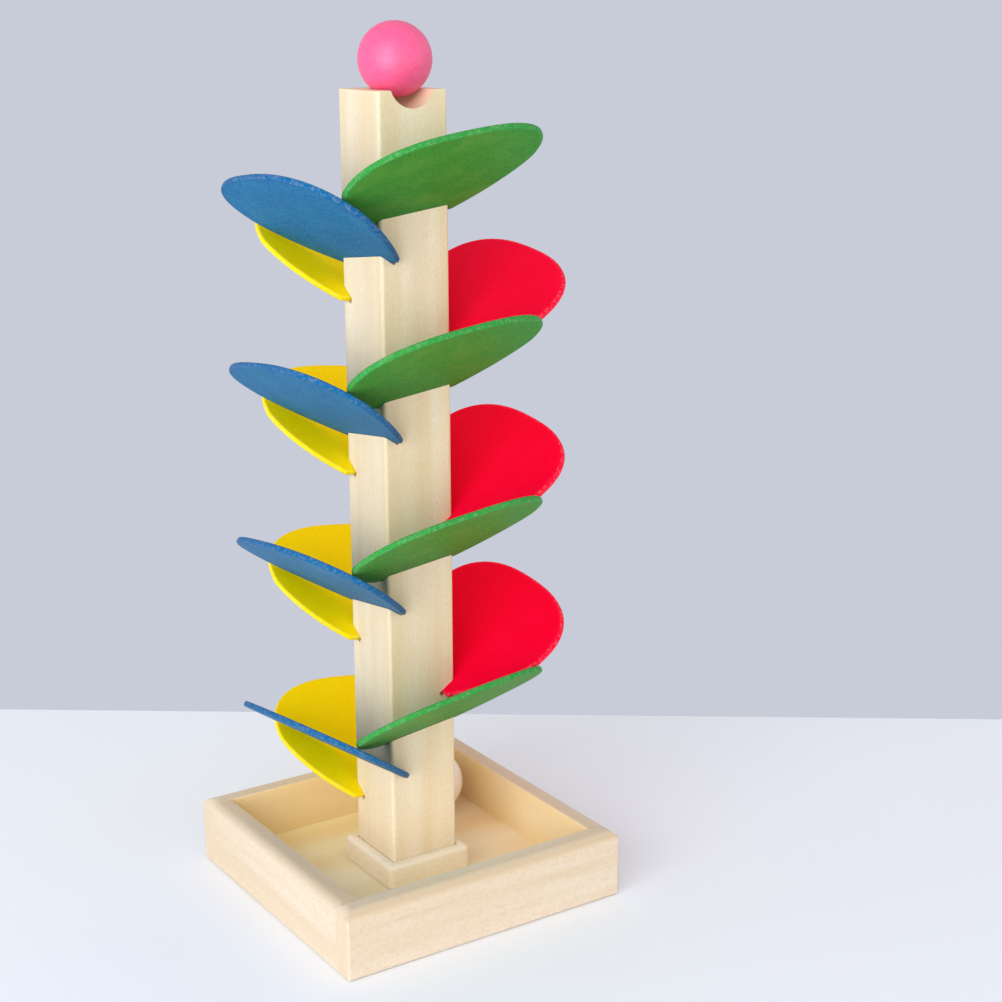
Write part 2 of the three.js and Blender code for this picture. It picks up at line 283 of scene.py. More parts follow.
# %% Build the floor and the collar
FLOOR_EDGE = 0.2
low, high = box_mm("tray_floor")
floor_half = high[0]
half = [0, floor_half - FLOOR_EDGE, floor_half, floor_half, floor_half - FLOOR_EDGE, 0]
corner = [0, FLOOR_EDGE, FLOOR_EDGE, FLOOR_EDGE, FLOOR_EDGE, 0]
height = [low[2], low[2], low[2] + FLOOR_EDGE, high[2] - FLOOR_EDGE, high[2], high[2]]
board = ring_mesh("plywood_floor", square_rings(half, corner, height))
pieces["tray_floor"] = place_piece(board, "tray_floor")

COLLAR_EDGE, COLLAR_CORNER, COLLAR_MARGIN = 2.0, 2.5, 0.2
# The socket's edge is a little paler too: rubbed, and a painted highlight.
SOCKET_HALF, SOCKET_EDGE, SOCKET_RUB_AND_HIGHLIGHT = 16.3, 0.3, 0.3
low, high = box_mm("post_collar")
collar_half = high[0]
inset, drop = edge_round(COLLAR_EDGE)
socket_half = [SOCKET_HALF + SOCKET_EDGE, SOCKET_HALF, SOCKET_HALF]
socket_corner = np.full(len(socket_half), SOCKET_EDGE)
socket_height = [high[2], high[2] - SOCKET_EDGE, low[2]]
side_height = [low[2], high[2] - COLLAR_EDGE - COLLAR_MARGIN]
half = np.concatenate([[collar_half, collar_half], collar_half - inset, socket_half])
corner = np.concatenate([[COLLAR_CORNER, COLLAR_CORNER], COLLAR_CORNER - inset, socket_corner])
height = np.concatenate([side_height, high[2] - drop, socket_height])
# Paler along the rounded top edge and the socket's edge: wear from hands, and a painted highlight.
rub_and_highlight = np.concatenate([[0, 0], np.sin(np.linspace(0, np.pi, len(inset))), [SOCKET_RUB_AND_HIGHLIGHT, 0, 0]])
rings = square_rings(half, corner, height)
collar = ring_mesh("beech_collar", rings, loop=True, marks={"rub_and_highlight": rub_and_highlight[:, None]})
pieces["post_collar"] = place_piece(collar, "post_collar")
print("floor half width", floor_half, "collar half width", collar_half)

# %% [markdown]
# ## The leaves
# A leaf is cut from thin plywood: a broad petal with a full outer edge, sides that draw in, and a
# straight foot that goes into the post. Its outline is made of two superellipses, wide at the line
# where they meet. The sanded edge is a half round with a short flat. The rings of a leaf are its
# outline drawn in and lifted step by step, so the flat faces and the edge are one surface.

# %% Leaf outline and edge
LEAF_HALF, LEAF_REACH, LEAF_WIDEST, LEAF_FOOT = 43.5, 60.0, 30.0, 6.2
LEAF_THICKNESS, LEAF_EDGE, LEAF_FOOT_HALF = 2.4, 0.8, 20.0
LEAF_OUTER_FULLNESS, LEAF_INNER_FULLNESS = 2.5, 1.44
OUTER_POINTS, SIDE_POINTS, FOOT_POINTS, SIDE_CROWDING = 98, 25, 14, 1.3
FACE_SHARES = (0, 0.4, 0.75, 0.96)


def leaf_outline():
    """The leaf's outline in its own plane: (|x|/a)^n + (y/b)^n = 1 for the outer edge and, with its own
    b and n, for the sides down to the foot, then the straight foot."""
    angle = np.linspace(0, np.pi, OUTER_POINTS)
    power = 2 / LEAF_OUTER_FULLNESS
    outer_x = LEAF_HALF * np.sign(np.cos(angle)) * np.abs(np.cos(angle)) ** power
    outer_y = LEAF_WIDEST + (LEAF_REACH - LEAF_WIDEST) * np.sin(angle).clip(0) ** power
    fall, fullness = LEAF_WIDEST + LEAF_FOOT, LEAF_INNER_FULLNESS
    depth = fall / (1 - (LEAF_FOOT_HALF / LEAF_HALF) ** fullness) ** (1 / fullness)
    down = fall * np.linspace(0, 1, SIDE_POINTS)[1:] ** SIDE_CROWDING
    side_x = LEAF_HALF * (1 - (down / depth) ** fullness) ** (1 / fullness)
    side_y = LEAF_WIDEST - down
    foot_x = np.linspace(-LEAF_FOOT_HALF, LEAF_FOOT_HALF, FOOT_POINTS)[1:-1]
    x = np.concatenate([outer_x, -side_x, foot_x, side_x[::-1]])
    y = np.concatenate([outer_y, side_y, np.full(len(foot_x), -LEAF_FOOT), side_y[::-1]])
    return np.stack([x, y], -1)


def drawn_in(outline, distance):
    """The outline moved inwards: each point moves along the mitre of its two neighbouring edges."""
    edge = np.roll(outline, -1, axis=0) - outline
    normal = np.stack([-edge[:, 1], edge[:, 0]], -1) / np.linalg.norm(edge, axis=1, keepdims=True)
    before = np.roll(normal, 1, axis=0)
    return outline + distance * (before + normal) / (1 + (before * normal).sum(1, keepdims=True))


def leaf_rings():
    """Rings of a leaf in its own frame: underside from the middle out, round the edge, top back to the
    middle. Also the rim mark, which is 1 on the rounded edge."""
    outline = leaf_outline()
    inset, drop = edge_round(LEAF_EDGE)
    middle = np.array([0, LEAF_WIDEST])
    face = [middle + share * (drawn_in(outline, LEAF_EDGE) - middle) for share in FACE_SHARES]
    edge = [drawn_in(outline, step) for step in inset]
    flat = np.stack(face + edge[::-1] + edge + face[::-1])
    zero = np.zeros(len(face))
    height = np.concatenate([zero, drop[::-1], LEAF_THICKNESS - drop, zero + LEAF_THICKNESS])
    mark = np.concatenate([zero, np.ones(2 * len(edge)), zero])
    tall = np.broadcast_to(height[:, None, None], flat.shape[:2] + (1,))
    return np.concatenate([flat, tall], -1), mark[:, None]


leaf_shape, leaf_rim = leaf_rings()
print("leaf rings:", leaf_shape.shape)

# %% [markdown]
# Each leaf tilts up away from the post and slopes sideways along its face, so that a ball rolls
# along it and drops on the next one, a quarter turn further round and one step lower. Three turns
# and a lift place it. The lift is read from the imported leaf, so the two always agree.

# %% Place the leaves
LEAF_TILT, LEAF_SLOPE = np.radians(34), np.radians(7.4)
POST_HALF = box_mm("post")[1][0]


def on_face(points, face, height):
    """A leaf's points on a face of the post: tilt about x, slope about y, out to the face, turn."""
    x, y, z = np.moveaxis(points, -1, 0)
    y, z = turned(y, z, LEAF_TILT)
    z, x = turned(z, x, LEAF_SLOPE)
    x, y = turned(x, y + POST_HALF, np.pi - face * np.pi / 2)
    return np.stack([x, y, z + height], -1)


leaf_nodes = sorted(node for node in frame["nodes"] if node.startswith("leaf_"))
leaf_lowest = on_face(leaf_shape, 0, 0)[..., 2].min()
leaf_heights = [box_mm(node)[0][2] - leaf_lowest for node in leaf_nodes]
for index, node in enumerate(leaf_nodes):
    rings = on_face(leaf_shape, index, leaf_heights[index])
    mesh = ring_mesh("painted_" + node, rings, marks={"rim": leaf_rim}, plan=leaf_shape[..., :2])
    pieces[node] = place_piece(mesh, node)
print("leaves:", len(leaf_nodes), "step", round(leaf_heights[0] - leaf_heights[1], 3), "mm")

# %% [markdown]
# ## The post
# The post is a square bar with rounded edges. A round-nosed cutter has ploughed a short groove into
# its top, open at the front, and a saw has cut a slot for every leaf right across its face, a little
# deeper than the leaf goes in, so that a small dark gap shows at the ends. The bar is made of square
# rings. Groove and slots are true cuts, so they are cut with a Boolean, whose result is kept as the
# mesh. The cutters are rings too, and they reach past the post, so that no cut ends on its surface.

# %% The bar and its cutters
POST_EDGE, POST_CORNER, SHAFT_MARGIN, SHAFT_RINGS = 0.8, 1.4, 0.3, 3
low, high = box_mm("post")
inset, drop = edge_round(POST_EDGE)
inset = np.concatenate([inset[::-1], np.zeros(SHAFT_RINGS), inset])
half = np.concatenate([[0], POST_HALF - inset, [0]])
corner = np.concatenate([[0], POST_CORNER - inset, [0]])
shaft = np.linspace(low[2] + POST_EDGE + SHAFT_MARGIN, high[2] - POST_EDGE - SHAFT_MARGIN, SHAFT_RINGS)
height = np.concatenate([[low[2]], low[2] + drop[::-1], shaft, high[2] - drop, [high[2]]])
bar = ring_mesh("beech_post", square_rings(half, corner, height))

GROOVE_RADIUS, GROOVE_DEPTH, GROOVE_END = 10.5, 7.2, -2.5
NOSE_STEPS, ROUND_STEPS = 17, 96
angle = np.linspace(0, np.pi / 2, NOSE_STEPS)
past_front = -2 * POST_HALF
reach = np.concatenate([GROOVE_RADIUS * np.sin(angle), [GROOVE_RADIUS, 0]])[:, None]
along = GROOVE_END + np.concatenate([GROOVE_RADIUS * np.cos(angle), [past_front, past_front]])[:, None]
around = np.linspace(0, 2 * np.pi, ROUND_STEPS, endpoint=False)
middle_height = high[2] - GROOVE_DEPTH + GROOVE_RADIUS
groove = np.stack([reach * np.cos(around), along + 0 * around, reach * np.sin(around) + middle_height], -1)

SLOT_PLAY, SLOT_DEEPER, SLOT_PAST = 0.2, 1.3, 3.0
SQUARE = np.array([[-1, -1], [1, -1], [1, 1], [-1, 1]])
slot_depth = LEAF_FOOT + SLOT_DEEPER
slot_plan = SQUARE * [POST_HALF + SLOT_PAST, (slot_depth + SLOT_PAST) / 2]
slot_plan = slot_plan + [0, (SLOT_PAST - slot_depth) / 2]
slot_low, slot_high = -SLOT_PLAY, LEAF_THICKNESS + SLOT_PLAY
slot_ends = ((0, slot_low), (1, slot_low), (1, slot_high), (0, slot_high))
slot = np.stack([np.c_[slot_plan * share, np.full(len(SQUARE), level)] for share, level in slot_ends])
cutters = [ring_mesh("groove_cutter", groove)]
for index, lift in enumerate(leaf_heights):
    cutters.append(ring_mesh("slot_cutter", on_face(slot, index, lift)))
print("post rings ready, cutters:", len(cutters))

# %% Cut the post
work = bmesh.new()
for mesh in cutters:
    work.from_mesh(mesh)
cutter_mesh = bpy.data.meshes.new("post_cutters")
work.to_mesh(cutter_mesh)
work.free()
cutter = bpy.data.objects.new("post_cutters", cutter_mesh)
bpy.context.scene.collection.objects.link(cutter)
post = place_piece(bar, "post")
cut = post.modifiers.new("cuts", "BOOLEAN")
cut.operation, cut.solver, cut.object = "DIFFERENCE", "EXACT", cutter
post.data = bpy.data.meshes.new_from_object(post.evaluated_get(bpy.context.evaluated_depsgraph_get()))
post.modifiers.remove(cut)
post.data.name = "beech_post"
post.data.shade_smooth()
post.data.set_sharp_from_angle(angle=SHARP_ANGLE)
bpy.data.objects.remove(cutter)
for mesh in cutters + [cutter_mesh]:
    bpy.data.meshes.remove(mesh)
pieces["post"] = post
print("post faces:", len(post.data.polygons))

# %% [markdown]
# ## The balls
# Turned wooden balls are round to about a tenth of a millimetre, with a small flat left at each end
# where they were parted off. A ball is a row of circles from one end of its turning axis to the
# other, pulled in slightly at the ends. The axes are tilted, because a ball never comes to rest
# with its grain upright.

# %% Build the balls
BALL_FLAT = 0.12
BALL_ROWS, BALL_COLUMNS = 72, 144
BALL_AXES = {"ball_pink": (0.55, -0.35, 0.75), "ball_natural": (-0.6, 0.25, 0.76)}
ACROSS = (0.3, 1.0, 0.2)


def ball_rings(centre, radius, axis):
    """Circles round a tilted axis: radius r sin a at height r cos a, the height capped near both ends.
    ACROSS is any direction off the axis: it only says where the circles start."""
    down = np.linspace(0, np.pi, BALL_ROWS)[:, None]
    around = np.linspace(0, 2 * np.pi, BALL_COLUMNS, endpoint=False)[None]
    cap = radius - BALL_FLAT
    height = np.clip(radius * np.cos(down), -cap, cap) + 0 * around
    wide = radius * np.sin(down)
    local = np.stack([wide * np.cos(around), wide * np.sin(around), height], -1)
    z = np.array(axis) / np.linalg.norm(axis)
    x = np.cross(z, ACROSS)
    x = x / np.linalg.norm(x)
    return np.array(centre) + local @ np.stack([x, np.cross(z, x), z])


ball_centres = {}
for node, axis in BALL_AXES.items():
    low, high = box_mm(node)
    ball_centres[node] = (low + high) / 2
    radius = (high - low).max() / 2
    mesh = ring_mesh("turned_" + node, ball_rings(ball_centres[node], radius, axis))
    pieces[node] = place_piece(mesh, node)
print("balls at", {node: np.round(centre, 1).tolist() for node, centre in ball_centres.items()})

# %% [markdown]
# ## Nodes for the finishes
# Colours are written as sRGB hex values, as they are picked from a picture, and one function makes
# them linear. One more function adds a shader node with its settings and links and hands back the
# output that the next node needs. A pattern's scale is one over its real size, so both are written in
# millimetres. In a Mix node the colours are inputs 6 and 7 and output 2. A Map Range node takes the
# value as input 0, the range it comes from as 1 and 2, and the range it goes to as 3 and 4. A Wave
# node's scale is divided further, so that its dark and its light bands are each about as wide as
# written.

# %% Material helpers
WAVE_DIVISOR = 6.3
ROUGH_BELOW, ROUGH_ABOVE = 0.05, 0.07


def linear(hex_colour):
    """sRGB hex to linear RGBA: the sRGB curve taken back channel by channel."""
    value = np.array([int(hex_colour[i:i + 2], 16) for i in (0, 2, 4)]) / 255
    value = np.where(value <= 0.04045, value / 12.92, ((value + 0.055) / 1.055) ** 2.4)
    return (*value.tolist(), 1.0)


def per_mm(size):
    """The texture scale whose features are about that many millimetres wide."""
    return 1 / (size * MM)


def add(tree, kind, inputs=None, output=0, **settings):
    """Adds a node with its settings, gives each named input a link or a value, returns one output."""
    node = tree.nodes.new(kind)
    for key, value in settings.items():
        setattr(node, key, value)
    for key, value in (inputs or {}).items():
        if isinstance(value, bpy.types.NodeSocket):
            tree.links.new(value, node.inputs[key])
        else:
            node.inputs[key].default_value = value
    return node.outputs[output] if node.outputs else node


def new_material(name):
    """An empty named material and its node tree."""
    material = bpy.data.materials.new(name)
    material.use_nodes = True
    material.node_tree.nodes.clear()
    return material, material.node_tree


print("mid grey as linear:", np.round(linear("808080"), 3))

# %% [markdown]
# ## Sanded beech
# Beech is pale and even. What the eye finds in it is soft streaks along the grain, thin growth lines
# and many short brown flecks, the cut ends of its rays. On sawn ends the same wood shows rings and
# dots. The post's grain runs up, and each rail's grain runs along it, so the grain's axis is a
# setting. Stretching the coordinates along the grain turns round noise into streaks and flecks, so a
# table of layers does for the long faces. The flecks are drawn about twice as wide as they are, so
# that they show at this distance.

# %% Beech grain
FIBRE_WIDTH, FIBRE_STRETCH, FIBRE_DEPTH = 0.35, 0.06, 0.08
RING_WIDTH, DOT_WIDTH = 2.4, 0.6
PITH = (31, 24, 27)


def stretched(axis, factor):
    """A scale for three axes that is 1 except along the grain."""
    return [factor if index == axis else 1.0 for index in range(3)]


def long_grain(tree, place, axis, pale, warm, growth_line_and_shade, fleck):
    """Colour of the long faces: noise stretched along the grain, one layer mixed over the other."""
    layers = (  # width, length, noise that starts to show, noise that shows fully, share, colour
        (9, 130, 0.36, 0.64, 1.0, warm),
        (1.7, 120, 0.56, 0.74, 0.22, growth_line_and_shade),
        (16, 16, 0.35, 0.7, 0.35, warm),
        (1.0, 1.8, 0.4, 0.7, 0.32, growth_line_and_shade),
        (0.6, 1.9, 0.60, 0.70, 0.2, fleck),
    )
    colour = linear(pale)
    for width, length, low, high, share, tone in layers:
        along = add(tree, "ShaderNodeMapping", {"Vector": place, "Scale": stretched(axis, width / length)})
        marks = add(tree, "ShaderNodeTexNoise", {"Vector": along, "Scale": per_mm(width), "Detail": 2.0})
        marks = add(tree, "ShaderNodeMapRange", {0: marks, 1: low, 2: high, 4: share})
        colour = add(tree, "ShaderNodeMix", {0: marks, 6: colour, 7: linear(tone)}, 2, data_type="RGBA")
    return colour


def end_grain(tree, place, axis, warm, growth_line_and_shade, fleck):
    """Colour of the sawn ends: growth rings round a pith outside the piece, and dots."""
    pith = [0.0 if index == axis else away * MM for index, away in enumerate(PITH)]
    from_pith = add(tree, "ShaderNodeMapping", {"Vector": place, "Location": pith})
    wave = {"Vector": from_pith, "Scale": per_mm(RING_WIDTH) / WAVE_DIVISOR, "Distortion": 1.6, "Detail": 2.0,
            "Detail Scale": 0.6}
    rings = add(tree, "ShaderNodeTexWave", wave, 1, wave_type="RINGS", rings_direction="XYZ"[axis])
    rings = add(tree, "ShaderNodeMapRange", {0: rings, 1: 0.3, 2: 0.9, 4: 0.22})
    end = add(tree, "ShaderNodeMix", {0: rings, 6: linear(warm), 7: linear(growth_line_and_shade)}, 2, data_type="RGBA")
    dots = add(tree, "ShaderNodeTexNoise", {"Vector": place, "Scale": per_mm(DOT_WIDTH), "Detail": 1.0})
    dots = add(tree, "ShaderNodeMapRange", {0: dots, 1: 0.55, 2: 0.7, 4: 0.2})
    return add(tree, "ShaderNodeMix", {0: dots, 6: end, 7: linear(fleck)}, 2, data_type="RGBA")


print("beech grain ready")

# %% [markdown]
# Then come the marks. The rails' inner faces are painted warmer and brighter, for the light that
# bounces round inside the tray. The collar's edges are paler: rubbed by hands, and with a painted
# highlight. The front rail's rounded shoulder has a band of painted shade, and the left rail's top has
# painted shade. A piece without a mark reads it as 0. The fine fibre gives the roughness and the bump.
# The plain ball's wood is counted from its middle, so that it wouldn't change if the ball lay elsewhere.

# %% Beech
WOOD_IOR, WOOD_GLOSS = 1.5, 0.35
# The tone of the painted bounce light on the rails' inner faces.
INNER_BOUNCE_LIGHT = "ffe4a8"


def beech(name, tones, axis, rough, centre=(0, 0, 0)):
    """Long grain, end grain where a face looks along the grain, the marks, and fibre for the surface.
    tones are the pale wood, its warm streaks, its growth lines, whose tone also paints the shade marks, and
    its flecks."""
    material, tree = new_material(name)
    pale, warm, growth_line_and_shade, fleck = tones
    place = add(tree, "ShaderNodeTexCoord", output="Object")
    place = add(tree, "ShaderNodeMapping", {"Vector": place, "Location": [-v * MM for v in centre]})
    colour = long_grain(tree, place, axis, pale, warm, growth_line_and_shade, fleck)
    end = end_grain(tree, place, axis, warm, growth_line_and_shade, fleck)
    facing = add(tree, "ShaderNodeNewGeometry", output="True Normal")
    sawn = add(tree, "ShaderNodeSeparateXYZ", {0: facing}, axis)
    sawn = add(tree, "ShaderNodeMath", {0: sawn}, operation="ABSOLUTE")
    sawn = add(tree, "ShaderNodeMapRange", {0: sawn, 1: 0.75, 2: 0.92, 4: 0.7})
    colour = add(tree, "ShaderNodeMix", {0: sawn, 6: colour, 7: end}, 2, data_type="RGBA")
    # The marks: the collar's paler edges are wear with a painted highlight, the inner faces get painted
    # bounce light, the front shoulder and the left top get painted shade.
    marks = (("rub_and_highlight", 0.35, pale), ("inner", 0.6, INNER_BOUNCE_LIGHT), ("shoulder", 0.6, growth_line_and_shade), ("painted_top_shade", 0.45, growth_line_and_shade))
    for mark, share, tone in marks:
        there = add(tree, "ShaderNodeAttribute", output="Fac", attribute_name=mark)
        there = add(tree, "ShaderNodeMapRange", {0: there, 4: share})
        colour = add(tree, "ShaderNodeMix", {0: there, 6: colour, 7: linear(tone)}, 2, data_type="RGBA")
    fibre = add(tree, "ShaderNodeMapping", {"Vector": place, "Scale": stretched(axis, FIBRE_STRETCH)})
    fibre = add(tree, "ShaderNodeTexNoise", {"Vector": fibre, "Scale": per_mm(FIBRE_WIDTH), "Detail": 2.0})
    spread = {0: fibre, 1: 0.3, 2: 0.7, 3: rough - ROUGH_BELOW, 4: rough + ROUGH_ABOVE}
    roughness = add(tree, "ShaderNodeMapRange", spread)
    bump = add(tree, "ShaderNodeBump", {"Height": fibre, "Strength": 0.25, "Distance": FIBRE_DEPTH * MM})
    surface = add(tree, "ShaderNodeBsdfPrincipled", {
        "Base Color": colour, "Roughness": roughness, "Normal": bump,
        "IOR": WOOD_IOR, "Specular IOR Level": WOOD_GLOSS})
    add(tree, "ShaderNodeOutputMaterial", {"Surface": surface})
    return material


X, Y, Z = 0, 1, 2
POST_TONES = ("f1e3c7", "ead5af", "dfc496", "c8a97a")
RAIL_TONES = ("e6d7c1", "decaab", "d1b690", "c3a67f")
COLLAR_TONES = ("fff3dd", "f7e8cb", "ead3ab", "d4b88d")
BALL_TONES = ("fff8ee", "fcefe1", "f3e0ca", "dfc6ad")
long_rail = beech("sanded_beech_long_rail", RAIL_TONES, X, 0.6)
side_rail = beech("sanded_beech_side_rail", RAIL_TONES, Y, 0.6)
finishes = {
    "post": beech("sanded_beech_upright", POST_TONES, Z, 0.58),
    "post_collar": beech("sanded_beech_collar", COLLAR_TONES, X, 0.6),
    "ball_natural": beech("turned_beech_ball", BALL_TONES, Z, 0.5, ball_centres["ball_natural"]),
    "tray_rail_front": long_rail, "tray_rail_back": long_rail,
    "tray_rail_left": side_rail, "tray_rail_right": side_rail,
}
print("beech finishes:", sorted(finishes))

# %% [markdown]
# ## Birch plywood
# The floor is birch plywood, warmer and flatter in colour than the beech. Its face is peeled off the
# log like paper off a roll, so the growth lines wander in broad cathedral bands. A distorted wave
# gives the bands, and a fine fibre like the beech's keeps the board from looking like plastic.

# %% Plywood
PLY_PALE, PLY_WARM, PLY_SMOOTHEST, PLY_ROUGHEST = "fff3d0", "f9e4b6", 0.55, 0.65
PLY_BAND, PLY_FIBRE, PLY_DEPTH, PLY_STRETCH = 14, 0.7, 0.06, (0.12, 1.0, 1.0)
material, tree = new_material("birch_plywood")
place = add(tree, "ShaderNodeTexCoord", output="Object")
along = add(tree, "ShaderNodeMapping", {"Vector": place, "Scale": PLY_STRETCH})
wave = {"Vector": along, "Scale": per_mm(PLY_BAND) / WAVE_DIVISOR, "Distortion": 5.0, "Detail": 2.0,
        "Detail Scale": 0.5}
bands = add(tree, "ShaderNodeTexWave", wave, 1, bands_direction="Y")
bands = add(tree, "ShaderNodeMapRange", {0: bands, 1: 0.2, 2: 0.9, 4: 0.7})
colour = add(tree, "ShaderNodeMix", {0: bands, 6: linear(PLY_PALE), 7: linear(PLY_WARM)}, 2, data_type="RGBA")
fibre = add(tree, "ShaderNodeTexNoise", {"Vector": along, "Scale": per_mm(PLY_FIBRE), "Detail": 2.0})
fine = add(tree, "ShaderNodeMapRange", {0: fibre, 1: 0.55, 2: 0.75, 4: 0.3})
colour = add(tree, "ShaderNodeMix", {0: fine, 6: colour, 7: linear(PLY_WARM)}, 2, data_type="RGBA")
roughness = add(tree, "ShaderNodeMapRange", {0: fibre, 1: 0.3, 2: 0.7, 3: PLY_SMOOTHEST, 4: PLY_ROUGHEST})
bump = add(tree, "ShaderNodeBump", {"Height": fibre, "Strength": 0.2, "Distance": PLY_DEPTH * MM})
surface = add(tree, "ShaderNodeBsdfPrincipled", {
    "Base Color": colour, "Roughness": roughness, "Normal": bump,
    "IOR": WOOD_IOR, "Specular IOR Level": WOOD_GLOSS})
add(tree, "ShaderNodeOutputMaterial", {"Surface": surface})
finishes["tray_floor"] = material
print("plywood ready")

# %% [markdown]
# ## Satin paint on plywood
# The leaves are painted with a thin water-based paint. It is satin, and thin enough for the plywood's
# grain to show as faint lines and a mottled tone. The rounded edge has a tone of its own, and there
# pale flecks stand for paint worn a little towards bare wood and for painted glints. Raised fibres
# under the green and the blue paint catch light at a low angle, which a little sheen stands for. The
# grain follows each leaf's own length, so it reads the leaf's flat plan from its UV map, and the
# mottling reads the place in the toy, so that no two leaves are alike. The mottling is drawn coarser
# than the paint's own speckle, which would be too fine to show. The ball is glossier, and has no plan,
# so its grain reads the place too.

# %% Painted leaves and ball
PAINT_GRAIN, PAINT_MOTTLE, PAINT_PATCH, PAINT_STRETCH = 0.9, 1.2, 14, (0.12, 1.0, 1.0)
PAINT_IOR = 1.48
# The second colour is the pale of the flecks on the leaf rims: worn paint, and painted glints.
FUZZ_TINT, BARE_WOOD_AND_GLINT = "ffdfb4", "f2ead6"


def satin_paint(name, tones, rough=0.48, gloss=0.04, fuzz=0.0, ridge=0.12, centre=None):
    """Mottled paint with the wood's grain showing through, and pale flecks where the rim mark is: worn
    paint and painted glints. tones are the paint, its deep and light spots and its edge; a centre is
    given for a piece without a flat plan."""
    material, tree = new_material(name)
    colour, deep, light, edge = tones
    origin = centre or (0, 0, 0)
    place = add(tree, "ShaderNodeTexCoord", output="Object")
    place = add(tree, "ShaderNodeMapping", {"Vector": place, "Location": [-v * MM for v in origin]})
    plan = place if centre else add(tree, "ShaderNodeTexCoord", output="UV")
    along = add(tree, "ShaderNodeMapping", {"Vector": plan, "Scale": PAINT_STRETCH})
    grain = add(tree, "ShaderNodeTexNoise", {"Vector": along, "Scale": per_mm(PAINT_GRAIN), "Detail": 2.0})
    mottle = add(tree, "ShaderNodeTexNoise", {"Vector": place, "Scale": per_mm(PAINT_MOTTLE), "Detail": 3.0})
    patch = add(tree, "ShaderNodeTexNoise", {"Vector": place, "Scale": per_mm(PAINT_PATCH), "Detail": 2.0})
    rim = add(tree, "ShaderNodeAttribute", output="Fac", attribute_name="rim")
    # Pale flecks along the rim: worn paint, and painted glints.
    worn_and_glints = add(tree, "ShaderNodeMath", {0: rim, 1: mottle}, operation="MULTIPLY")
    layers = (  # pattern, value that starts to show, value that shows fully, share, colour
        (mottle, 0.35, 0.68, 0.6, deep),
        (patch, 0.45, 0.75, 0.4, light),
        (grain, 0.55, 0.75, 0.35, deep),
        (rim, 0, 1, 0.75, edge),
        (worn_and_glints, 0.45, 0.75, 0.14, BARE_WOOD_AND_GLINT),
    )
    paint = linear(colour)
    for marks, low, high, share, tone in layers:
        marks = add(tree, "ShaderNodeMapRange", {0: marks, 1: low, 2: high, 4: share})
        paint = add(tree, "ShaderNodeMix", {0: marks, 6: paint, 7: linear(tone)}, 2, data_type="RGBA")
    spread = {0: mottle, 1: 0.3, 2: 0.7, 3: rough - ROUGH_BELOW, 4: rough + ROUGH_ABOVE}
    roughness = add(tree, "ShaderNodeMapRange", spread)
    bump = add(tree, "ShaderNodeBump", {"Height": grain, "Strength": 0.3, "Distance": ridge * MM})
    surface = add(tree, "ShaderNodeBsdfPrincipled", {
        "Base Color": paint, "Roughness": roughness, "Normal": bump, "IOR": PAINT_IOR,
        "Specular IOR Level": gloss, "Sheen Weight": fuzz, "Sheen Tint": linear(FUZZ_TINT)})
    add(tree, "ShaderNodeOutputMaterial", {"Surface": surface})
    return material


GREEN_TONES = ("369430", "1b7620", "669f38", "2b9440")
BLUE_TONES = ("0277a8", "004f82", "2488b0", "065a90")
YELLOW_TONES = ("ffe200", "f9d600", "ffea10", "f8da04")
RED_TONES = ("fb0032", "f00028", "fd083c", "fd103c")
PINK_TONES = ("fa5a8e", "ee487c", "fc74a0", "fc74a0")
paints = {
    "green": satin_paint("satin_green_paint", GREEN_TONES, fuzz=0.06),
    "blue": satin_paint("satin_blue_paint", BLUE_TONES, fuzz=0.035),
    "yellow": satin_paint("satin_yellow_paint", YELLOW_TONES),
    "red": satin_paint("satin_red_paint", RED_TONES, gloss=0.02),
}
for node in leaf_nodes:
    finishes[node] = paints[node.split("_")[-1]]
finishes["ball_pink"] = satin_paint("satin_pink_paint", PINK_TONES, rough=0.44, gloss=0.8, ridge=0.25,
                                    centre=ball_centres["ball_pink"].tolist())
for node, piece in pieces.items():
    piece.data.materials.clear()
    piece.data.materials.append(finishes[node])
print("finished pieces:", len(pieces))

# %% [markdown]
# ## Camera
# The camera stands a little above the top of the post and left of the front, about 0.8 m away, and
# looks down by some fifteen degrees. Its place was worked out from the tray's corners, the post's
# edges and the balls in the picture. A pinhole of 1836 pixels on a picture 1002 pixels wide is a lens
# of 66 mm on a sensor of 36 mm.

# %% Place the camera
YAW, PITCH, ROLL = np.radians(-33.57), np.radians(15.3), np.radians(-0.26)
TARGET_SIDEWAYS, TARGET_HEIGHT, DISTANCE = 42.7, 173.97, 778.5
PICTURE, FOCAL_PIXELS, SENSOR = 1002, 1836, 36.0
NEAREST_SEEN = 0.05
forward = np.array([-np.sin(YAW) * np.cos(PITCH), np.cos(YAW) * np.cos(PITCH), -np.sin(PITCH)])
level = np.array([np.cos(YAW), np.sin(YAW), 0])
eye = (TARGET_SIDEWAYS * level + [0, 0, TARGET_HEIGHT] - DISTANCE * forward) * MM
right, up = turned(level, np.cross(level, forward), -ROLL)
lens = bpy.data.cameras.new("camera")
lens.sensor_width, lens.lens = SENSOR, FOCAL_PIXELS * SENSOR / PICTURE
lens.clip_start = NEAREST_SEEN
camera = bpy.data.objects.new("camera", lens)
bpy.context.scene.collection.objects.link(camera)
pose = np.eye(4)
pose[:3] = np.stack([right, up, -forward, eye], 1)
camera.matrix_world = Matrix(pose.tolist())
bpy.context.scene.camera = camera
print("camera at", np.round(eye, 4), "lens", round(lens.lens, 2))

# %% [markdown]
# ## The table
# The toy stands on a pale laminate table whose back edge shows behind it. The table is a plain plane
# that ends where the edge's line in the picture meets the table's height. It lies a little under the
# toy, so that the two don't share a plane. Its lengths, like the lamps' later, are in metres.

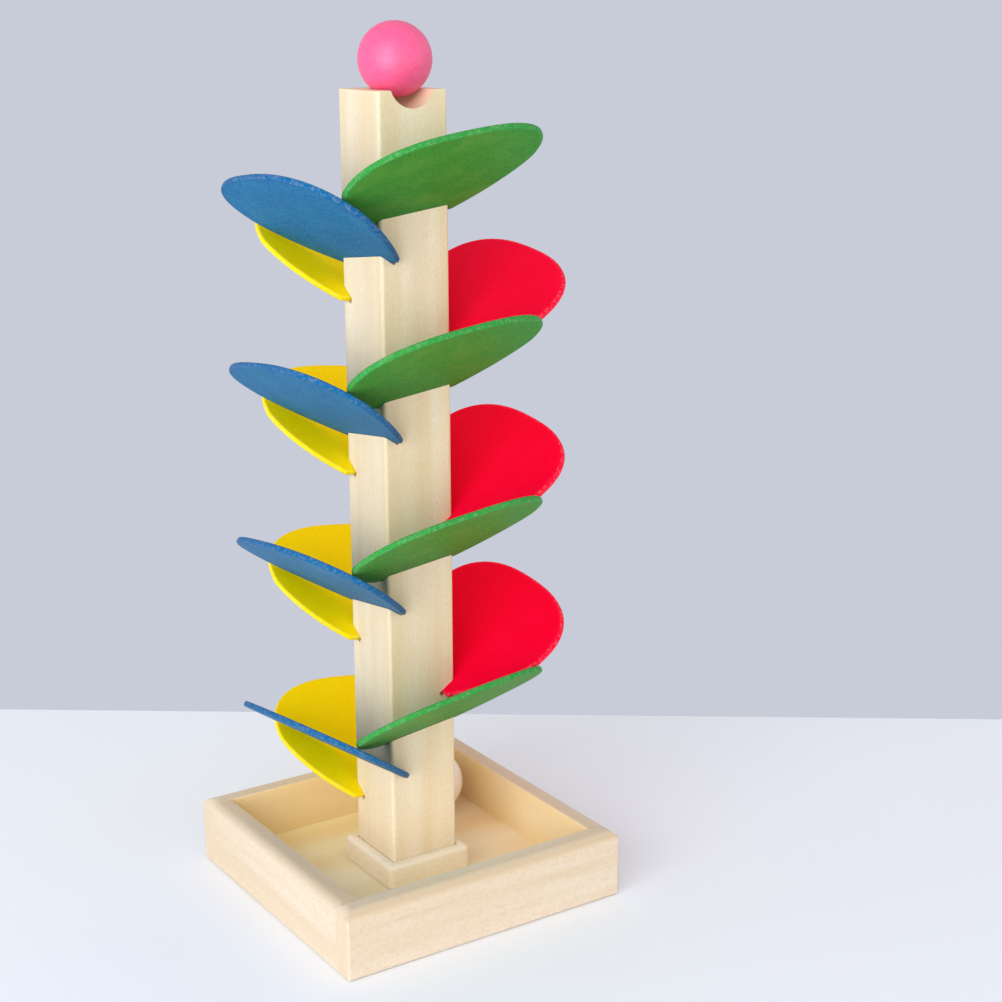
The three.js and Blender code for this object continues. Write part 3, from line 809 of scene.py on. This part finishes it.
# %% Table
EDGE_LEFT, EDGE_RIGHT = (0, 709), (1002, 719)
TABLE_SIDE, TABLE_DEPTH, TABLE_DROP = 3.0, 4.0, 0.0002
TABLE_TONES, TABLE_ROUGH, HAZE_SCALE = ("f6faff", "f9fcff"), 0.8, 3.0


def on_table(pixel):
    """Where the ray through a pixel meets the table: eye + t * ray with height 0."""
    across, down = (np.array(pixel) - PICTURE / 2) / FOCAL_PIXELS
    ray = forward + across * right - down * up
    return eye - ray * eye[2] / ray[2]


edge_left, edge_right = on_table(EDGE_LEFT), on_table(EDGE_RIGHT)
edge_way = (edge_right - edge_left) / np.linalg.norm(edge_right - edge_left)
to_front = np.array([edge_way[1], -edge_way[0], 0])
back = [edge_left - TABLE_SIDE * edge_way, edge_right + TABLE_SIDE * edge_way]
front = [back[1] + TABLE_DEPTH * to_front, back[0] + TABLE_DEPTH * to_front]
table_mesh = bpy.data.meshes.new("pale_table")
table_mesh.from_pydata([tuple(place - [0, 0, TABLE_DROP]) for place in back + front], [], [(0, 3, 2, 1)])
table = bpy.data.objects.new("pale_table", table_mesh)
bpy.context.scene.collection.objects.link(table)
material, tree = new_material("matt_white_laminate")
place = add(tree, "ShaderNodeTexCoord", output="Object")
haze = add(tree, "ShaderNodeTexNoise", {"Vector": place, "Scale": HAZE_SCALE})
pale, paler = map(linear, TABLE_TONES)
haze = add(tree, "ShaderNodeMix", {0: haze, 6: pale, 7: paler}, 2, data_type="RGBA")
surface = add(tree, "ShaderNodeBsdfPrincipled", {"Base Color": haze, "Roughness": TABLE_ROUGH})
add(tree, "ShaderNodeOutputMaterial", {"Surface": surface})
table_mesh.materials.append(material)
print("table edge", np.round(edge_left, 3), np.round(edge_right, 3))

# %% [markdown]
# ## Wall and light
# Behind the table is a plain grey-blue wall. It is only a colour that the camera and shiny surfaces
# see, so that it can't stand in the way of another view. The toy itself is lit by the world as if by
# a bright room: more light comes from the sides than from above. A big soft window on the left gives
# the lit sides and the soft shadows, and a weak warm lamp in front lifts the dark ones.

# %% Wall colour and lamps
WALL, SKY, HORIZON, ZENITH = "c8ccd8", "f4f7ff", 1.17, 0.55
world = bpy.data.worlds.new("studio")
bpy.context.scene.world = world
world.use_nodes = True
tree = world.node_tree
tree.nodes.clear()
seen = 0.0
for ray in ("Is Camera Ray", "Is Glossy Ray", "Is Transmission Ray"):
    this = add(tree, "ShaderNodeLightPath", output=ray)
    seen = add(tree, "ShaderNodeMath", {0: seen, 1: this}, operation="MAXIMUM")
way = add(tree, "ShaderNodeTexCoord", output="Generated")
upward = add(tree, "ShaderNodeSeparateXYZ", {0: way}, 2)
strength = add(tree, "ShaderNodeMapRange", {0: upward, 3: HORIZON, 4: ZENITH})
sky = add(tree, "ShaderNodeBackground", {"Color": linear(SKY), "Strength": strength})
wall = add(tree, "ShaderNodeBackground", {"Color": linear(WALL), "Strength": 1.0})
both = add(tree, "ShaderNodeMixShader", {0: seen, 1: sky, 2: wall})
add(tree, "ShaderNodeOutputWorld", {"Surface": both})

LAMP_TARGET = Vector((0, 0, 0.17))
LAMPS = {  # place, size, watts, colour
    "window_left": ((-1.30, -0.82, 0.52), 1.3, 21.0, "f6f8ff"),
    "soft_front": ((-0.15, -1.50, 0.66), 1.0, 2.2, "ffdcb4"),
}
for name, (place, size, watts, colour) in LAMPS.items():
    light = bpy.data.lights.new(name, "AREA")
    light.shape, light.size, light.energy, light.color = "SQUARE", size, watts, linear(colour)[:3]
    lamp = bpy.data.objects.new(name, light)
    lamp.location = place
    lamp.rotation_euler = (LAMP_TARGET - Vector(place)).to_track_quat("-Z", "Y").to_euler()
    bpy.context.scene.collection.objects.link(lamp)
bpy.context.scene.view_settings.view_transform = "Standard"
print("lamps:", list(LAMPS))
